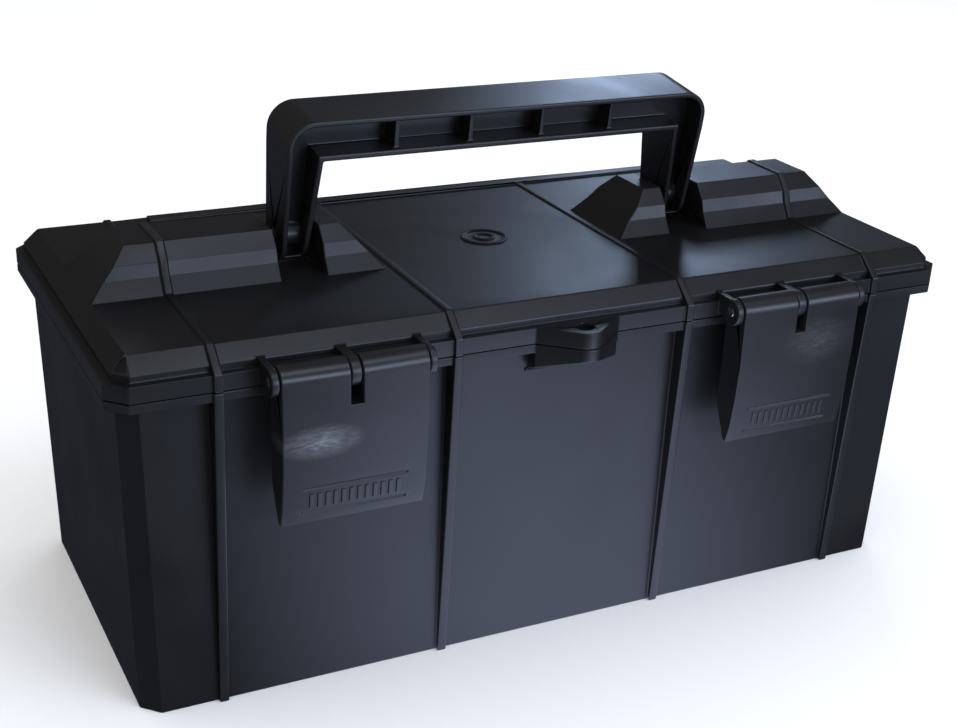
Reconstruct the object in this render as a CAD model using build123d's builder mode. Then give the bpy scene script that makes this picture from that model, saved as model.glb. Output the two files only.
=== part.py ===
from build123d import *
import math
import os

os.makedirs("parts", exist_ok=True)

# ---------------------------------------------------------------- dimensions, mm
# Origin: middle of the underside. +X runs along the box, -Y is the latch side.

# Tub
length = 400.0  # over the rim
depth = 181.0
rim_corner = 8.0  # corner cut of the rim and of the lid band
parting_z = 146.0
rim_h = 3.8
rim_z = parting_z - rim_h
wall = 2.5
base_x, base_y = 383.4, 166.4
wall_top_x, wall_top_y = 389.0, 169.0
wall_corner = 7.5

# Ribs that run up the tub and over the lid
rib_w, lid_rib_w = 4.0, 3.4
inner_rib_x, outer_rib_x = 56.0, 157.5
rib_foot_y = 85.3
rib_face_y = 92.0

# Lid
seam = 0.4
lid_z = parting_z + seam
band_top_z = 153.4
step_top_z = 156.3
top_z = 162.4
step_in = 3.5
bevel_in = 10.0
step_corner = 6.0
flat_corner = 0.6
rib_proud = 0.8

# Humps along the middle of the lid: half widths and heights above the flat top
hump_profile = [(24.5, 0.0), (20.0, 7.0), (18.2, 12.7), (12.5, 19.6)]
hump_end_x, hump_end_top_x = 190.0, 172.6
slot_outer_x, slot_inner_x = 108.0, 87.3
small_hump_top_x, small_hump_base_x = 77.5, 59.6
hump_h = hump_profile[-1][1]

# Hinge at the back
hinge_y, hinge_z = 95.6, 146.2
knuckle_r = 4.6
hinge_pin_r = 2.0
hinge_x = 100.0
lid_knuckle_w = 21.0
tub_knuckle_w = 14.0
knuckle_gap = 0.4

# Carrying handle
pivot_z = 175.2
lean = math.radians(8)  # it stands tipped a little towards the latches
handle_pin_r = 3.0
arm_out_x = 103.2
arm_in_top_x, arm_in_foot_x = 87.0, 91.8
grip_top, grip_under = 56.3, 38.6  # measured from the pivot along the arms
arm_end_r = 11.4
grip_depth = 28.5
grip_corner_r = 12.0
grip_wall = 2.4
grip_web = 2.4
grip_rib_pitch = 35.4
boss_r = 5.6

# Latches
latch_x = 106.2
latch_w = 62.0
latch_y, latch_z = -99.4, 151.2
barrel_r = 6.4
latch_pin_r = 2.0
lug_r = 6.0
lug_w = 3.2
latch_gap = 0.4
latch_slot_w = 5.2
latch_slot_z = 139.5
latch_tip_z = 88.5
latch_wall = 2.4

# Padlock hasp
hasp_root_x = 20.0
hasp_nose_r = 7.6
hasp_y = -97.2
hasp_hole_y, hasp_hole_r = -95.7, 4.2
hasp_foot_z = 133.0

# Tray
tray_z = 102.0
tray_h = 32.0
tray_top_x, tray_top_y = 377.0, 157.0
tray_foot_x, tray_foot_y = 375.0, 155.0
tray_wall = 2.0
ledge_depth = 11.0
grip_bar_z = 152.0
front_divider_x = 62.0
rear_divider_x = 124.0
divider_t = 1.8
spine_t = 2.0
grip_post_x = 66.0

running = 0.08  # radial clearance of a turning pin
cos_lean, sin_lean = math.cos(lean), math.sin(lean)


# ---------------------------------------------------------------- shared shapes
def plan(z, size_x, size_y, corner):
    """Rectangle with cut corners at height z."""
    with BuildSketch(Plane.XY.offset(z)) as outline:
        Rectangle(size_x, size_y)
        chamfer(outline.vertices(), corner)
    return outline.sketch


def section(x, points):
    """Closed outline of (y, z) points in the plane at x."""
    with BuildSketch(Plane.YZ.offset(x)) as outline:
        with BuildLine():
            Polyline(*points, close=True)
        make_face()
    return outline.sketch


def disc(x, y, z, radius):
    """Disc facing along X."""
    with BuildSketch(Plane.YZ.offset(x)) as outline:
        with Locations((y, z)):
            Circle(radius)
    return outline.sketch


def both_sides(points):
    """A half outline given from the outside in, closed by its mirror image about y = 0."""
    return [(-y, z) for y, z in points] + [(y, z) for y, z in reversed(points)]


def ridge(near_x, slope, half_section):
    """Faceted ridge on the -X side: square end at -near_x, other end along the slope's (x, z) points."""
    foot, top = slope
    with BuildPart() as solid:
        extrude(section(-200, both_sides(half_section)), amount=200)
        with BuildSketch(Plane.XZ):
            with BuildLine():
                Polyline((-near_x, foot[1]), (-foot[0], foot[1]), (-top[0], top[1]), (-near_x, top[1]), close=True)
            make_face()
        extrude(amount=depth, both=True, mode=Mode.INTERSECT)
    return solid.part


def hasp_plan(z, root_y):
    """Wedge with a round nose, seen from above, run back into the wall as far as root_y."""
    with BuildSketch(Plane.XY.offset(z)) as outline:
        with Locations((0, hasp_y)):
            Circle(hasp_nose_r)
        with Locations((0, (root_y - depth / 2) / 2)):
            Rectangle(2 * hasp_root_x, root_y + depth / 2)
        make_hull()
    return outline.sketch


def side_view(x):
    """Plane across the handle at x, with its axes (backwards, up along the arms)."""
    return Plane(origin=(x, 0, pivot_z), x_dir=(0, cos_lean, sin_lean), z_dir=(1, 0, 0))


def rod(x, y, z, radius, span):
    """Pin along X from x to x + span, with its ends eased."""
    with BuildPart() as pin:
        extrude(disc(x, y, z, radius), amount=span)
        chamfer(pin.edges(), 0.4)
    return pin.part


def write(part, name):
    part.label = name
    export_step(part, f"parts/{name}.step")


# ---------------------------------------------------------------- tub
def cavity_size(z):
    """Inside of the tub at height z."""
    share = z / rim_z
    size_x = base_x + (wall_top_x - base_x) * share - 2 * wall
    size_y = base_y + (wall_top_y - base_y) * share - 2 * wall
    return size_x, size_y


tub_rib = [
    (base_y / 2 - wall / 2, 0),
    (rib_foot_y, 0),
    (rib_face_y, rim_z),
    (rib_face_y, parting_z),
    (base_y / 2 - wall / 2, parting_z),
]
tub_gusset = [(84.0, 131.0), (98.0, 142.4), (hinge_y, parting_z), (84.0, parting_z)]
cut_z = parting_z + 1.0

with BuildPart() as body_shell:
    loft(sections=[plan(0, base_x, base_y, wall_corner), plan(rim_z, wall_top_x, wall_top_y, wall_corner)])
    extrude(plan(rim_z, length, depth, rim_corner), amount=rim_h)
    for side in (-1, 1):
        for x in (-outer_rib_x, -inner_rib_x, inner_rib_x, outer_rib_x):
            extrude(section(x - rib_w / 2, [(side * y, z) for y, z in tub_rib]), amount=rib_w)
    # lower half of the padlock hasp, with a sloping underside
    extrude(hasp_plan(hasp_foot_z, -83.5), amount=parting_z - hasp_foot_z)
    extrude(
        section(-hasp_root_x - 1, [(-84.4, hasp_foot_z - 1), (-84.4, hasp_foot_z), (-106, 141), (-106, 130)]),
        amount=2 * hasp_root_x + 2,
        mode=Mode.SUBTRACT,
    )
    # two hinge knuckles each side of the lid's, on gussets under the rim
    for centre in (-hinge_x, hinge_x):
        for side in (-1, 1):
            inner = lid_knuckle_w / 2 + knuckle_gap
            start = centre + (inner if side > 0 else -inner - tub_knuckle_w)
            extrude(disc(start, hinge_y, hinge_z, knuckle_r), amount=tub_knuckle_w)
            extrude(section(start, tub_gusset), amount=tub_knuckle_w)
    loft(
        sections=[plan(wall, *cavity_size(wall), wall_corner), plan(cut_z, *cavity_size(cut_z), wall_corner)],
        mode=Mode.SUBTRACT,
    )
    # ledges on the end walls carry the tray
    for side in (-1, 1):
        with BuildSketch(Plane.XZ):
            with BuildLine():
                Polyline(
                    (side * 192.4, tray_z),
                    (side * (192.4 - ledge_depth), tray_z),
                    (side * (192.4 - ledge_depth), tray_z - 3.0),
                    (side * 192.4, tray_z - 12.0),
                    close=True,
                )
            make_face()
        extrude(amount=60, both=True)
    extrude(disc(-200, hinge_y, hinge_z, hinge_pin_r), amount=400, mode=Mode.SUBTRACT)
    with Locations((0, hasp_hole_y, parting_z)):
        Hole(radius=hasp_hole_r, depth=20)
write(body_shell.part, "body_shell")


# ---------------------------------------------------------------- lid
hump_section = [(y, top_z + z) for y, z in hump_profile]
ceiling_z = top_z - wall
hump_cavity = [(21.5, ceiling_z - 1), (17.6, top_z + 6.0), (15.9, top_z + 11.4), (11.2, top_z + hump_h - wall)]
hump_top_z = top_z + hump_h
cavity_top_z = hump_top_z - wall

big_hump = ridge(slot_outer_x, [(hump_end_x, top_z), (hump_end_top_x, hump_top_z)], hump_section)
big_hump_cavity = ridge(slot_outer_x + wall, [(189.2, ceiling_z - 1), (171.0, cavity_top_z)], hump_cavity)
small_hump = ridge(slot_inner_x, [(small_hump_base_x, top_z), (small_hump_top_x, hump_top_z)], hump_section)
small_hump_cavity = ridge(slot_inner_x - wall, [(61.2, ceiling_z - 1), (78.7, cavity_top_z)], hump_cavity)

rib_skin = [(rib_face_y, lid_z), (rib_face_y, band_top_z + 0.6), (88.4, step_top_z + 0.8)]
rib_bend = (depth / 2 - bevel_in + 0.5, top_z + rib_proud)
hump_skin = [
    (24.5 + rib_proud, top_z + rib_proud),
    (20.0 + rib_proud, top_z + 7.4),
    (18.2 + rib_proud, top_z + 13.1),
    (12.5 + 0.4, hump_top_z + rib_proud),
]
latch_lug_root = [
    (latch_y, latch_z - 3.0),
    (latch_y, latch_z + lug_r - 0.4),
    (-86.0, latch_z + lug_r - 0.4),
    (-86.0, latch_z - 3.0),
]
hinge_root = [(hinge_y, lid_z), (98.4, 149.8), (89.5, 157.0), (89.5, lid_z)]
lug_offset = latch_w / 2 + latch_gap + lug_w / 2
slot_lug_w = latch_slot_w - 2 * latch_gap
lid_x, lid_y = length - 2 * step_in, depth - 2 * step_in
flat_x, flat_y = length - 2 * bevel_in, depth - 2 * bevel_in

with BuildPart() as lid_shell:
    extrude(plan(lid_z, length, depth, rim_corner), amount=band_top_z - lid_z)
    extrude(plan(band_top_z, lid_x, lid_y, step_corner), amount=step_top_z - band_top_z)
    loft(sections=[plan(step_top_z, lid_x, lid_y, step_corner), plan(top_z, flat_x, flat_y, flat_corner)])
    # ribs carried on from the tub, over the band, the bevel and the humps
    for x in (-outer_rib_x, -inner_rib_x, inner_rib_x, outer_rib_x):
        over = hump_skin if abs(x) == outer_rib_x else []
        extrude(section(x - lid_rib_w / 2, both_sides(rib_skin + [rib_bend] + over)), amount=lid_rib_w)
    # humps each side of the two handle slots
    for part in (big_hump, small_hump):
        add(part)
        add(mirror(part, about=Plane.YZ, mode=Mode.PRIVATE))
    # low bar along the back of the top
    with BuildSketch(Plane.XY.offset(top_z)):
        with Locations((0, 76.5)):
            Rectangle(278, 7)
    extrude(amount=1.2)
    # inside of the lid and of its humps
    extrude(plan(lid_z - 1, 390, 171, 6), amount=153.8 - lid_z + 1, mode=Mode.SUBTRACT)
    loft(
        sections=[plan(153.8, 390, 171, 6), plan(ceiling_z, 378.4, 159.4, 1.5)],
        mode=Mode.SUBTRACT,
    )
    for part in (big_hump_cavity, small_hump_cavity):
        add(part, mode=Mode.SUBTRACT)
        add(mirror(part, about=Plane.YZ, mode=Mode.PRIVATE), mode=Mode.SUBTRACT)
    for side in (-1, 1):
        extrude(disc(side * 97 - 14, 0, pivot_z, handle_pin_r), amount=28, mode=Mode.SUBTRACT)
    # round mark in the middle of the top
    with BuildSketch(Plane.XY.offset(top_z)):
        Circle(11)
        Circle(9.4, mode=Mode.SUBTRACT)
        Circle(5)
        Circle(3.6, mode=Mode.SUBTRACT)
    extrude(amount=0.6)
    # upper half of the padlock hasp
    extrude(hasp_plan(lid_z, -87.5), amount=band_top_z - lid_z)
    with Locations((0, hasp_hole_y, band_top_z)):
        Hole(radius=hasp_hole_r, depth=20)
    # lugs that carry the latches: one in the latch's slot and one at each side
    for centre in (-latch_x, latch_x):
        for x, across in ((centre - lug_offset, lug_w), (centre, slot_lug_w), (centre + lug_offset, lug_w)):
            extrude(disc(x - across / 2, latch_y, latch_z, lug_r), amount=across)
            extrude(section(x - across / 2, latch_lug_root), amount=across)
        extrude(disc(centre - 40, latch_y, latch_z, latch_pin_r), amount=80, mode=Mode.SUBTRACT)
    # hinge knuckles
    for centre in (-hinge_x, hinge_x):
        start = centre - lid_knuckle_w / 2
        extrude(disc(start, hinge_y, hinge_z, knuckle_r), amount=lid_knuckle_w)
        extrude(section(start, hinge_root), amount=lid_knuckle_w)
    extrude(disc(-200, hinge_y, hinge_z, hinge_pin_r + running), amount=400, mode=Mode.SUBTRACT)
write(lid_shell.part, "lid_shell")

# ---------------------------------------------------------------- latches
latch_front = [
    (latch_y - barrel_r, latch_z),
    (-106.1, 128.0),
    (-105.1, 111.0),
    (-103.6, 97.0),
    (-101.4, latch_tip_z),
]
latch_outline = latch_front + [(-99.0, latch_tip_z + 0.6), (-92.0, 104.0), (-92.0, 142.8), (latch_y, latch_z)]
latch_hollow = [
    (-103.8, latch_z - 2.0),
    (-103.7, 128.0),
    (-102.7, 111.0),
    (-101.2, 97.0),
    (-99.2, 90.2),
    (-90.0, 90.2),
    (-90.0, latch_z - 8.5),
    (latch_y, latch_z - 3.4),
]
catch = [(-104.5, 134.0), (-104.5, 136.2), (-92.2, 138.8), (-92.2, 136.6)]
web_z = latch_slot_z - latch_wall

for side, name in ((-1, "latch_left"), (1, "latch_right")):
    centre = side * latch_x
    with BuildPart() as latch:
        extrude(section(centre - latch_w / 2, latch_outline), amount=latch_w)
        extrude(disc(centre - latch_w / 2, latch_y, latch_z, barrel_r), amount=latch_w)
        # hollow behind the face, with cheeks at the ends and beside the slot
        cheek = latch_slot_w / 2 + latch_wall
        pocket = latch_w / 2 - latch_wall - cheek
        for x in (centre - latch_w / 2 + latch_wall, centre + cheek):
            extrude(section(x, latch_hollow), amount=pocket, mode=Mode.SUBTRACT)
            extrude(disc(x, latch_y, latch_z, barrel_r - latch_wall), amount=pocket, mode=Mode.SUBTRACT)
        with BuildSketch(Plane.XY.offset(80)):
            with Locations((centre, -94.6)):
                Rectangle(2 * cheek + 1, 9.2)
        extrude(amount=web_z - 80, mode=Mode.SUBTRACT)
        with BuildSketch(Plane.XY.offset(latch_slot_z)):
            with Locations((centre, latch_y)):
                Rectangle(latch_slot_w, 30)
        extrude(amount=30, mode=Mode.SUBTRACT)
        # rib that catches under the rim of the tub
        for x in (centre - latch_w / 2 + latch_wall, centre + cheek):
            extrude(section(x, catch), amount=pocket)
        # two fine grooves across the face
        for z, y in ((105.0, -104.1), (93.6, -102.3)):
            with BuildSketch(Plane.XY.offset(z - 0.5)):
                with Locations((centre, y - 2)):
                    Rectangle(45, 4)
            extrude(amount=1.0, mode=Mode.SUBTRACT)
        extrude(disc(centre - 60, latch_y, latch_z, latch_pin_r + running), amount=120, mode=Mode.SUBTRACT)
    write(latch.part, name)

# ---------------------------------------------------------------- carrying handle
handle_front = Plane(origin=(0, 0, pivot_z), x_dir=(1, 0, 0), z_dir=(0, -cos_lean, -sin_lean))


def bail(wall_t, radius):
    """The U of the handle seen from the front, drawn in by wall_t from every edge."""
    out_x, crown = arm_out_x - wall_t, grip_top - wall_t
    top_x, foot_x, sill = arm_in_top_x + wall_t, arm_in_foot_x + wall_t, grip_under + wall_t
    with BuildSketch(handle_front) as outline:
        with BuildLine():
            Polyline(
                (-out_x, -14),
                (-out_x, crown),
                (out_x, crown),
                (out_x, -14),
                (foot_x, -14),
                (top_x, sill),
                (-top_x, sill),
                (-foot_x, -14),
                close=True,
            )
        make_face()
        fillet(outline.vertices().group_by(Axis.Y)[-1], radius)
    return outline.sketch


boss_in_x = slot_inner_x + 0.3
boss_span = arm_out_x - 1.0 - boss_in_x

with BuildPart() as channel:
    # open to the front and to the back of a web in the middle
    extrude(bail(grip_wall, grip_corner_r - grip_wall), amount=60, both=True)
    with BuildSketch(side_view(0)):
        Circle(arm_end_r - grip_wall)
        with Locations((0, -7)):
            Rectangle(60, grip_top + 11, align=(Align.CENTER, Align.MIN))
        Rectangle(grip_web, 150, mode=Mode.SUBTRACT)
    extrude(amount=150, both=True, mode=Mode.INTERSECT)

with BuildPart() as handle:
    extrude(bail(0, grip_corner_r), amount=60, both=True)
    with BuildSketch(side_view(0)):
        Circle(arm_end_r)
        with Locations((0, (grip_top + grip_under) / 2)):
            Rectangle(grip_depth, grip_top - grip_under)
        make_hull()
    extrude(amount=150, both=True, mode=Mode.INTERSECT)
    add(channel.part, mode=Mode.SUBTRACT)
    # cross ribs each side of the web, set back from the open edges
    for step in (-1.5, -0.5, 0.5, 1.5):
        with BuildSketch(side_view(step * grip_rib_pitch - 1)):
            with Locations((0, (grip_top + grip_under) / 2)):
                Rectangle(grip_depth - 5.4, grip_top - grip_under - 1)
        extrude(amount=2)
    # bosses that turn on the pins and keep the arms clear of the humps
    for start in (-boss_in_x - boss_span, boss_in_x):
        with BuildSketch(side_view(start)):
            Circle(boss_r)
        extrude(amount=boss_span)
        with BuildSketch(side_view(start - 5)):
            Circle(handle_pin_r + running)
        extrude(amount=boss_span + 10, mode=Mode.SUBTRACT)
write(handle.part, "handle")

# ---------------------------------------------------------------- pins
for side, hand in ((-1, "left"), (1, "right")):
    span = 2 * (lug_offset + lug_w / 2)
    write(rod(side * latch_x - span / 2, latch_y, latch_z, latch_pin_r, span), f"latch_pin_{hand}")
    span = slot_outer_x - slot_inner_x + 2 * wall
    start = side * (slot_inner_x + slot_outer_x) / 2 - span / 2
    write(rod(start, 0, pivot_z, handle_pin_r, span), f"handle_pin_{hand}")
    span = lid_knuckle_w + 2 * knuckle_gap + 2 * tub_knuckle_w
    write(rod(side * hinge_x - span / 2, hinge_y, hinge_z, hinge_pin_r, span), f"hinge_pin_{hand}")

# ---------------------------------------------------------------- tray
tray_top = tray_z + tray_h
divider_places = {
    "divider_front_left": (-front_divider_x, -1),
    "divider_front_right": (front_divider_x, -1),
    "divider_rear_left": (-rear_divider_x, 1),
    "divider_rear_right": (rear_divider_x, 1),
}
floor_z = tray_z + tray_wall
groove = 0.9  # how far the dividers and the spine stand into the tray's walls
divider_reach = tray_foot_y / 2 - tray_wall + groove - 0.1
spine_reach = tray_foot_x / 2 - tray_wall + groove - 0.1
divider_root = spine_t / 2 - 0.4

with BuildPart() as tray:
    loft(sections=[plan(tray_z, tray_foot_x, tray_foot_y, 6), plan(tray_top, tray_top_x, tray_top_y, 6)])
    over = tray_top + 1
    loft(
        sections=[
            plan(floor_z, tray_foot_x - 2 * tray_wall, tray_foot_y - 2 * tray_wall, 5),
            plan(over, tray_top_x - 2 * tray_wall, tray_top_y - 2 * tray_wall, 5),
        ],
        mode=Mode.SUBTRACT,
    )
    # upright grooves that hold the dividers and the two ends of the spine
    with BuildSketch(Plane.XY.offset(floor_z)):
        with Locations(*[(x, row * (divider_reach - 1.9)) for x, row in divider_places.values()]):
            Rectangle(divider_t + 0.2, 4)
        with GridLocations(2 * (spine_reach - 1.9), 0, 2, 1):
            Rectangle(4, spine_t + 0.2)
    extrude(amount=tray_h, mode=Mode.SUBTRACT)
write(tray.part, "tray")

with BuildPart() as tray_spine:
    # middle wall that stands in the tray, with shallow grooves for the dividers
    with BuildSketch(Plane.XY.offset(floor_z)):
        Rectangle(2 * spine_reach, spine_t)
        with Locations(*[(x, row * (divider_root + 1)) for x, row in divider_places.values()]):
            Rectangle(divider_t + 0.2, 2, mode=Mode.SUBTRACT)
    extrude(amount=tray_top - floor_z)
write(tray_spine.part, "tray_spine")

for side, hand in ((-1, "left"), (1, "right")):
    with BuildPart() as post:
        # saddle over the spine that carries one end of the grip
        with BuildSketch(Plane.XY.offset(floor_z)):
            with Locations((side * grip_post_x, 0)):
                Rectangle(4, 16)
        extrude(amount=grip_bar_z - 4 - floor_z)
        with BuildSketch(Plane.XY.offset(floor_z)):
            with Locations((side * grip_post_x, 0)):
                Rectangle(6, spine_t + 0.1)
        extrude(amount=tray_top - floor_z, mode=Mode.SUBTRACT)
        extrude(disc(side * grip_post_x - 3, 0, grip_bar_z - 8, 2.5), amount=6, mode=Mode.SUBTRACT)
    write(post.part, f"grip_post_{hand}")

for name, (x, row) in divider_places.items():
    with BuildPart() as divider:
        with BuildSketch(Plane.XY.offset(floor_z)):
            with Locations((x, row * (divider_root + divider_reach) / 2)):
                Rectangle(divider_t, divider_reach - divider_root)
        extrude(amount=tray_h - tray_wall - 4)
    write(divider.part, name)

with BuildPart() as tray_grip:
    # arch that snaps over the two posts
    with BuildSketch(Plane.XZ):
        with Locations((0, grip_bar_z - 7)):
            Rectangle(2 * grip_post_x + 10, 14)
        with Locations((0, grip_bar_z - 10)):
            Rectangle(2 * grip_post_x - 4.4, 14, mode=Mode.SUBTRACT)
    extrude(amount=9, both=True)
    for side in (-1, 1):
        with BuildSketch(Plane.XY.offset(grip_bar_z - 20)):
            with Locations((side * grip_post_x, 0)):
                Rectangle(4, 16)
        extrude(amount=20 - 4, mode=Mode.SUBTRACT)
        extrude(disc(side * grip_post_x - 3.5, 0, grip_bar_z - 8, 2.5), amount=7)
    chamfer(tray_grip.faces().sort_by(Axis.Z)[-1].edges().filter_by(Axis.X), 2)
write(tray_grip.part, "tray_grip")
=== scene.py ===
"""Black moulded toolbox with a hinged lid, two latches, a carrying handle and a lift-out tray."""

import math

import bmesh
import bpy
from mathutils import Matrix, Vector


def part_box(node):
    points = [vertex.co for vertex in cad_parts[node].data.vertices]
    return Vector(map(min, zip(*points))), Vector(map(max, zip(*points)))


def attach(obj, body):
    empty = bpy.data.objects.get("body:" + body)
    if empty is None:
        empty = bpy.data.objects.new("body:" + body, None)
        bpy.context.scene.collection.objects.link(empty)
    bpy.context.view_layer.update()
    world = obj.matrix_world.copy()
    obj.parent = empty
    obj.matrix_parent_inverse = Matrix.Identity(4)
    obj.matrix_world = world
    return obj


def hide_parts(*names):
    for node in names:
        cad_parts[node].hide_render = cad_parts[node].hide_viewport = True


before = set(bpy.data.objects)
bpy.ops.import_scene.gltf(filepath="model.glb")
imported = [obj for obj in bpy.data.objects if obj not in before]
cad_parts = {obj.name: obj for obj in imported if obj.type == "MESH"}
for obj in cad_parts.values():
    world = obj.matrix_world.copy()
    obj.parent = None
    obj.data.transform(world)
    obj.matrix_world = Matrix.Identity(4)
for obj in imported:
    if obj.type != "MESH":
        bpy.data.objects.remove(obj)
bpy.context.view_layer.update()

MM = 0.001


# ---------------------------------------------------------------- small helpers
def hex_linear(code):
    """sRGB hex colour to linear RGBA."""
    values = [int(code[i : i + 2], 16) / 255 for i in (0, 2, 4)]
    return [v / 12.92 if v <= 0.04045 else ((v + 0.055) / 1.055) ** 2.4 for v in values] + [1.0]


def add(tree, kind, settings=None, values=None, links=None):
    """Adds one node: its settings, its unlinked values and the sockets that feed it."""
    node = tree.nodes.new(kind)
    for key, value in (settings or {}).items():
        setattr(node, key, value)
    for key, value in (values or {}).items():
        node.inputs[key].default_value = value
    for key, source in (links or {}).items():
        tree.links.new(source, node.inputs[key])
    return node


def ramp(tree, source, stops):
    """Colour ramp from (position, hex or grey) stops."""
    node = add(tree, "ShaderNodeValToRGB", links={"Fac": source})
    elements = node.color_ramp.elements
    while len(elements) < len(stops):
        elements.new(0.5)
    for element, (position, colour) in zip(elements, stops):
        element.position = position
        element.color = hex_linear(colour) if isinstance(colour, str) else (colour, colour, colour, 1)
    return node


# ---------------------------------------------------------------- materials
def patch(tree, place, centre, extent, stops, turn=0.0):
    """Soft oval patch of value 0 to 1 around a centre, both in metres of object space, turned about Z."""
    shifted = add(
        tree, "ShaderNodeMapping", settings={"vector_type": "TEXTURE"},
        values={"Location": centre, "Rotation": (0.0, 0.0, turn), "Scale": extent}, links={"Vector": place},
    ).outputs["Vector"]
    away = add(
        tree, "ShaderNodeVectorMath", settings={"operation": "LENGTH"}, links={0: shifted}
    ).outputs["Value"]
    return ramp(tree, away, stops).outputs["Color"]


def polypropylene(name, base, pale, roughness, grain_mm, rub=None):
    """Black polypropylene, injection moulded in a spark-eroded tool: satin, with a fine even grain.
    The grain is drawn at grain_mm, coarser than the real one, so that it still shows.
    rub is (centre, extent, strength) of a place rubbed pale by use."""
    material = bpy.data.materials.new(name)
    material.use_nodes = True
    tree = material.node_tree
    shader = tree.nodes["Principled BSDF"]
    place = add(tree, "ShaderNodeTexCoord").outputs["Object"]
    grain = add(
        tree, "ShaderNodeTexNoise", values={"Scale": 1 / (grain_mm * MM), "Detail": 3.0, "Roughness": 0.6},
        links={"Vector": place},
    ).outputs["Fac"]
    # cloudy flow marks, about 60 mm across, where the melt ran
    flow = add(
        tree, "ShaderNodeTexNoise", values={"Scale": 1 / (60 * MM), "Detail": 4.0, "Distortion": 0.6},
        links={"Vector": place},
    ).outputs["Fac"]
    colour = add(
        tree, "ShaderNodeMix", settings={"data_type": "RGBA"},
        values={"A": hex_linear(base), "B": hex_linear(pale)},
        links={"Factor": ramp(tree, flow, [(0.3, 0.0), (0.75, 0.5)]).outputs["Color"]},
    ).outputs["Result"]
    # worn, slightly greyed edges
    corner = add(tree, "ShaderNodeNewGeometry").outputs["Pointiness"]
    wear = ramp(tree, corner, [(0.0, 0.0), (0.53, 0.0), (0.62, 0.22)]).outputs["Color"]
    colour = add(
        tree, "ShaderNodeMix", settings={"data_type": "RGBA"}, values={"B": hex_linear("55565a")},
        links={"Factor": wear, "A": colour},
    ).outputs["Result"]
    if rub:
        # streaky pale smear, its streaks about 1 mm apart and drawn out along X
        centre, extent, strength = rub
        drawn = add(
            tree, "ShaderNodeMapping", values={"Scale": (260.0, 900.0, 1100.0), "Rotation": (0.0, 0.12, 0.0)},
            links={"Vector": place},
        ).outputs["Vector"]
        streaks = add(
            tree, "ShaderNodeTexNoise", values={"Scale": 1.0, "Detail": 6.0, "Roughness": 0.7},
            links={"Vector": drawn},
        ).outputs["Fac"]
        smear = add(
            tree, "ShaderNodeMath", settings={"operation": "MULTIPLY"},
            links={
                0: patch(tree, place, centre, extent, [(0.0, strength), (0.35, strength * 0.6), (1.0, 0.0)]),
                1: ramp(tree, streaks, [(0.3, 0.0), (0.76, 1.0)]).outputs["Color"],
            },
        ).outputs["Value"]
        colour = add(
            tree, "ShaderNodeMix", settings={"data_type": "RGBA"}, values={"B": hex_linear("a4adb8")},
            links={"Factor": smear, "A": colour},
        ).outputs["Result"]
    tree.links.new(colour, shader.inputs["Base Color"])
    rough = add(
        tree, "ShaderNodeMapRange",
        values={"From Min": 0.3, "From Max": 0.7, "To Min": roughness - 0.05, "To Max": roughness + 0.07},
        links={"Value": flow},
    ).outputs["Result"]
    tree.links.new(rough, shader.inputs["Roughness"])
    bump = add(
        tree, "ShaderNodeBump", values={"Strength": 0.35, "Distance": 0.06 * MM}, links={"Height": grain}
    )
    tree.links.new(bump.outputs["Normal"], shader.inputs["Normal"])
    shader.inputs["IOR"].default_value = 1.49
    return material


def drawn_steel(name):
    """Zinc-plated steel wire, drawn: fine lines along the pin."""
    material = bpy.data.materials.new(name)
    material.use_nodes = True
    tree = material.node_tree
    shader = tree.nodes["Principled BSDF"]
    place = add(tree, "ShaderNodeTexCoord").outputs["Object"]
    along = add(
        tree, "ShaderNodeMapping", values={"Scale": (40.0, 4000.0, 4000.0)}, links={"Vector": place}
    ).outputs["Vector"]
    lines = add(
        tree, "ShaderNodeTexNoise", values={"Scale": 1.0, "Detail": 3.0}, links={"Vector": along}
    ).outputs["Fac"]
    tree.links.new(
        ramp(tree, lines, [(0.3, "9a9b9e"), (0.7, "bfc0c2")]).outputs["Color"], shader.inputs["Base Color"]
    )
    rough = add(
        tree, "ShaderNodeMapRange", values={"To Min": 0.25, "To Max": 0.42}, links={"Value": lines}
    ).outputs["Result"]
    tree.links.new(rough, shader.inputs["Roughness"])
    bump = add(
        tree, "ShaderNodeBump", values={"Strength": 0.3, "Distance": 0.02 * MM}, links={"Height": lines}
    )
    tree.links.new(bump.outputs["Normal"], shader.inputs["Normal"])
    shader.inputs["Metallic"].default_value = 1.0
    return material


latch_box = {side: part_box(f"latch_{side}") for side in ("left", "right")}


def on_latch(side, across, up):
    """Point on a latch's face, across from its middle and up from its tip, in millimetres."""
    low, high = latch_box[side]
    return ((low[0] + high[0]) / 2 + across * MM, low[1] + 2 * MM, low[2] + up * MM)


# plain smear on the left latch, a faint one on the right: centre, reach and strength
rub_left = (on_latch("left", -15, 37), (19 * MM, 30 * MM, 8 * MM), 0.5)
rub_right = (on_latch("right", 10, 46), (20 * MM, 30 * MM, 12 * MM), 0.12)

shell_plastic = polypropylene("shell_polypropylene", "101011", "19191b", 0.40, 0.45)
latch_plastic = {
    "left": polypropylene("latch_left_polypropylene", "141416", "1f2022", 0.34, 0.4, rub=rub_left),
    "right": polypropylene("latch_right_polypropylene", "141416", "1f2022", 0.34, 0.4, rub=rub_right),
}
handle_plastic = polypropylene("handle_polypropylene", "121213", "1b1b1d", 0.34, 0.5)
tray_plastic = polypropylene("tray_polypropylene", "222326", "2c2d31", 0.5, 0.45)
steel = drawn_steel("drawn_steel_wire")


# ---------------------------------------------------------------- mouldings
SHARP_TURN, CREASE_TURN = math.radians(28), math.radians(9)
SHORTEST_CREASE = 5 * MM
LID_TOP = 162.5 * MM  # just over the flat top, below the facets of the humps
NO_CREASES = 10.0  # metres, above everything
SAME_POINT = 0.002 * MM


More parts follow.
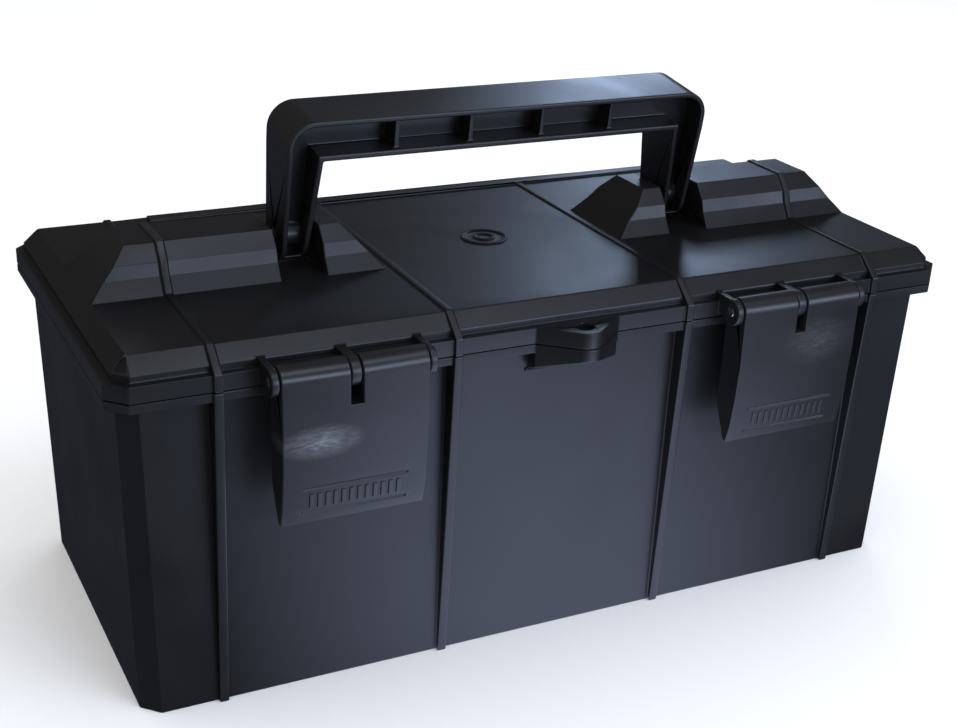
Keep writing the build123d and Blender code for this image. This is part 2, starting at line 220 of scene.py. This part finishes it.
def rounded_edges(work, crease_above):
    """Weights for the edges that get a moulded radius: sharp ones, and above a height the creases too."""
    weights = work.edges.layers.float.new("bevel_weight_edge")
    for edge in work.edges:
        if len(edge.link_faces) != 2:
            continue
        turn = edge.calc_face_angle(0.0)
        high = min(vert.co.z for vert in edge.verts) > crease_above
        crease = high and edge.calc_length() > SHORTEST_CREASE and turn > CREASE_TURN
        if turn > SHARP_TURN or crease:
            edge[weights] = 1.0


def moulding(name, node, body, material, radius_mm, crease_above=NO_CREASES):
    """The node's shape with its edges rounded as a moulded edge is."""
    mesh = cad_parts[node].data.copy()
    work = bmesh.new()
    work.from_mesh(mesh)
    bmesh.ops.remove_doubles(work, verts=work.verts, dist=SAME_POINT)
    rounded_edges(work, crease_above)
    for face in work.faces:
        face.smooth = True
        face.material_index = 0
    work.to_mesh(mesh)
    work.free()
    mesh.materials.clear()
    mesh.materials.append(material)
    piece = bpy.data.objects.new(name, mesh)
    bpy.context.scene.collection.objects.link(piece)
    bevel = piece.modifiers.new("edge", "BEVEL")
    bevel.width = radius_mm * MM
    bevel.segments = 2
    bevel.limit_method = "WEIGHT"
    bevel.use_clamp_overlap = False
    piece.modifiers.new("normals", "WEIGHTED_NORMAL")
    finished = bpy.data.meshes.new_from_object(piece.evaluated_get(bpy.context.evaluated_depsgraph_get()))
    piece.modifiers.clear()
    piece.data = finished
    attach(piece, body)
    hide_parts(node)


moulding("tub_moulding", "body_shell", "tub", shell_plastic, 0.6)
moulding("lid_moulding", "lid_shell", "lid", shell_plastic, 0.6, crease_above=LID_TOP)
moulding("handle_moulding", "handle", "carrying_handle", handle_plastic, 0.7)
moulding("tray_moulding", "tray", "lift_out_tray", tray_plastic, 0.3)
moulding("tray_spine_moulding", "tray_spine", "lift_out_tray", tray_plastic, 0.3)
moulding("tray_grip_moulding", "tray_grip", "lift_out_tray", handle_plastic, 0.4)
for side in ("left", "right"):
    moulding(
        f"latch_{side}_moulding", f"latch_{side}", f"{side}_latch", latch_plastic[side], 0.5
    )


# ---------------------------------------------------------------- thumb ribs of the latches
def rib_row_group():
    """Geometry nodes: a row of upright bars along X, tilted to lie on a sloping face."""
    group = bpy.data.node_groups.new("rib_row", "GeometryNodeTree")
    face = group.interface
    face.new_socket("Geometry", in_out="OUTPUT", socket_type="NodeSocketGeometry")
    for label, kind in (
        ("Count", "NodeSocketInt"), ("Start", "NodeSocketVector"), ("Pitch", "NodeSocketVector"),
        ("Bar", "NodeSocketVector"), ("Tilt", "NodeSocketVector"), ("Finish", "NodeSocketMaterial"),
    ):
        face.new_socket(label, in_out="INPUT", socket_type=kind)
    given = add(group, "NodeGroupInput").outputs
    line = add(
        group, "GeometryNodeMeshLine",
        links={"Count": given["Count"], "Start Location": given["Start"], "Offset": given["Pitch"]},
    ).outputs["Mesh"]
    bar = add(group, "GeometryNodeMeshCube", links={"Size": given["Bar"]}).outputs["Mesh"]
    row = add(
        group, "GeometryNodeInstanceOnPoints",
        links={"Points": line, "Instance": bar, "Rotation": given["Tilt"]},
    ).outputs["Instances"]
    real = add(group, "GeometryNodeRealizeInstances", links={"Geometry": row}).outputs["Geometry"]
    finished = add(
        group, "GeometryNodeSetMaterial", links={"Geometry": real, "Material": given["Finish"]}
    ).outputs["Geometry"]
    add(group, "NodeGroupOutput", links={"Geometry": finished})
    return group


def thumb_ribs(side, group):
    """Low upright bars between the two fine grooves of a latch, sizes in millimetres."""
    count, pitch, face_slope = 12, 3.4, math.radians(6.1)
    bar_width, bar_depth, bar_height = 1.7, 1.3, 6.4
    above_tip, behind_front = 10.8, 2.45
    name = f"latch_{side}_thumb_ribs"
    piece = bpy.data.objects.new(name, bpy.data.meshes.new(name))
    bpy.context.scene.collection.objects.link(piece)
    rows = piece.modifiers.new("rows", "NODES")
    rows.node_group = group
    first = on_latch(side, -pitch * (count - 1) / 2, above_tip)
    values = {
        "Count": count,
        "Start": (first[0], latch_box[side][0][1] + behind_front * MM, first[2]),
        "Pitch": (pitch * MM, 0.0, 0.0),
        "Bar": (bar_width * MM, bar_depth * MM, bar_height * MM),
        "Tilt": (face_slope, 0.0, 0.0),
        "Finish": latch_plastic[side],
    }
    for item in group.interface.items_tree:
        if item.in_out == "INPUT":
            rows[item.identifier] = values[item.name]
    soft = piece.modifiers.new("edge", "BEVEL")
    soft.width = 0.25 * MM
    soft.segments = 2
    finished = bpy.data.meshes.new_from_object(piece.evaluated_get(bpy.context.evaluated_depsgraph_get()))
    piece.modifiers.clear()
    piece.data = finished
    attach(piece, f"{side}_latch")


rib_row = rib_row_group()
for side in ("left", "right"):
    thumb_ribs(side, rib_row)

cad_finish = {
    "divider_front_left": tray_plastic,
    "divider_front_right": tray_plastic,
    "divider_rear_left": tray_plastic,
    "divider_rear_right": tray_plastic,
    "grip_post_left": handle_plastic,
    "grip_post_right": handle_plastic,
    "handle_pin_left": handle_plastic,
    "handle_pin_right": handle_plastic,
    "latch_pin_left": steel,
    "latch_pin_right": steel,
    "hinge_pin_left": steel,
    "hinge_pin_right": steel,
}
for node, material in cad_finish.items():
    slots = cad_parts[node].data.materials
    slots.clear()
    slots.append(material)

# ---------------------------------------------------------------- floor
floor_mesh = bpy.data.meshes.new("floor")
half = 6.0  # metres from the middle to a side
corners = [(-half, -half, 0), (half, -half, 0), (half, half, 0), (-half, half, 0)]
floor_mesh.from_pydata(corners, [], [(0, 1, 2, 3)])
floor = bpy.data.objects.new("floor", floor_mesh)
bpy.context.scene.collection.objects.link(floor)
# floor: pale paper to the eye, with painted reflections, dark and with a painted glow, that only glossy rays
# see
floor_with_painted_reflections = bpy.data.materials.new("studio_floor_with_painted_reflections")
floor_with_painted_reflections.use_nodes = True
tree = floor_with_painted_reflections.node_tree
place = add(tree, "ShaderNodeTexCoord").outputs["Object"]
fibre = add(tree, "ShaderNodeTexNoise", values={"Scale": 3.0}, links={"Vector": place})
pale = ramp(tree, fibre.outputs["Fac"], [(0.3, "f8f8f8"), (0.7, "fafafa")])
shader = tree.nodes["Principled BSDF"]
mirrored = add(tree, "ShaderNodeLightPath").outputs["Is Glossy Ray"]
# painted reflection: pale to the eye, but painted dark for glossy rays so the plastic mirrors it dark, and
# glowing for glossy rays only in one bright bluish stretch in front of the latches, a painted glow that the
# front of the tub mirrors
seen = add(
    tree, "ShaderNodeMix", settings={"data_type": "RGBA"}, values={"B": hex_linear("1d1a18")},
    links={"Factor": mirrored, "A": pale.outputs["Color"]},
)
tree.links.new(seen.outputs["Result"], shader.inputs["Base Color"])
glow_centre, glow_reach, glow_turn = (0.08, -0.27, 0.0), (0.42, 0.17, 1.0), math.radians(-63)
glow_fall = [(0.0, 1.0), (0.5, 0.85), (0.8, 0.35), (1.0, 0.03)]
glow_colour, glow_strength = (0.60, 0.70, 1.0, 1.0), 2.6
# painted glow: a floor patch that shines as light in reflections only, though it is no lamp
glow = patch(tree, place, glow_centre, glow_reach, glow_fall, turn=glow_turn)
shine = add(
    tree, "ShaderNodeMath", settings={"operation": "MULTIPLY"}, links={0: mirrored, 1: glow}
).outputs["Value"]
level = add(
    tree, "ShaderNodeMath", settings={"operation": "MULTIPLY"}, values={1: glow_strength}, links={0: shine}
).outputs["Value"]
tree.links.new(level, shader.inputs["Emission Strength"])
shader.inputs["Emission Color"].default_value = glow_colour
shader.inputs["Roughness"].default_value = 0.8
floor_with_painted_reflections.cycles.emission_sampling = "NONE"
floor_mesh.materials.append(floor_with_painted_reflections)

# ---------------------------------------------------------------- light and camera
bpy.context.scene.view_settings.view_transform = "Standard"
world = bpy.data.worlds.new("studio")
world.use_nodes = True
bpy.context.scene.world = world
tree = world.node_tree
# white surroundings, mirrored as a dark grey room
white_room, mirrored_room = (1.05, 1.05, 1.06, 1.0), (0.085, 0.08, 0.08, 1.0)
room = add(
    tree, "ShaderNodeMix", settings={"data_type": "RGBA"}, values={"A": white_room, "B": mirrored_room},
    links={"Factor": add(tree, "ShaderNodeLightPath").outputs["Is Glossy Ray"]},
)
tree.links.new(room.outputs["Result"], tree.nodes["Background"].inputs["Color"])


def soft_light(name, at, aim, size, power, colour):
    """Rectangular softbox of a size in metres and a power in watts."""
    lamp = bpy.data.lights.new(name, "AREA")
    lamp.shape = "RECTANGLE"
    lamp.size, lamp.size_y = size
    lamp.energy = power
    lamp.color = hex_linear(colour)[:3]
    lamp_object = bpy.data.objects.new(name, lamp)
    lamp_object.location = at
    lamp_object.rotation_euler = (Vector(aim) - Vector(at)).to_track_quat("-Z", "Y").to_euler()
    bpy.context.scene.collection.objects.link(lamp_object)


# window in front on the right, just above the horizon: the glow on the latch barrels and steep facets
soft_light(
    "window", at=(0.85, -1.75, 0.55), aim=(0, 0, 0.14), size=(1.3, 0.5), power=20, colour="cfe0ff"
)
# pale ceiling above the front: light lines along the bevel of the lid and the moulded edges
soft_light(
    "ceiling", at=(0.35, -0.85, 1.6), aim=(0, 0, 0.15), size=(1.1, 0.6), power=6, colour="dfe9ff"
)
# narrow strip behind on the right: the soft highlight across the middle of the lid
soft_light(
    "back_strip", at=(0.92, 1.25, 0.84), aim=(0.04, 0, 0.16), size=(0.18, 0.4), power=2.3, colour="c2daff"
)

camera = bpy.data.cameras.new("camera")
camera_object = bpy.data.objects.new("camera", camera)
bpy.context.scene.collection.objects.link(camera_object)
# camera in front on the left and above, looking down at the latches
camera_at = (-0.3104, -0.6057, 0.3868)
yaw, pitch, roll = math.radians(26.52), math.radians(24.68), math.radians(2.25)
view = Vector((math.sin(yaw) * math.cos(pitch), math.cos(yaw) * math.cos(pitch), -math.sin(pitch)))
level_right = Vector((math.cos(yaw), -math.sin(yaw), 0))
level_up = level_right.cross(view)
right = math.cos(roll) * level_right + math.sin(roll) * level_up
up = right.cross(view)
camera_object.matrix_world = Matrix(
    (
        (right.x, up.x, -view.x, camera_at[0]),
        (right.y, up.y, -view.y, camera_at[1]),
        (right.z, up.z, -view.z, camera_at[2]),
        (0, 0, 0, 1),
    )
)
camera.sensor_width = 36.0
camera.lens = 57.26
camera.shift_x = 0.0175
camera.shift_y = 0.0462
bpy.context.scene.camera = camera_object
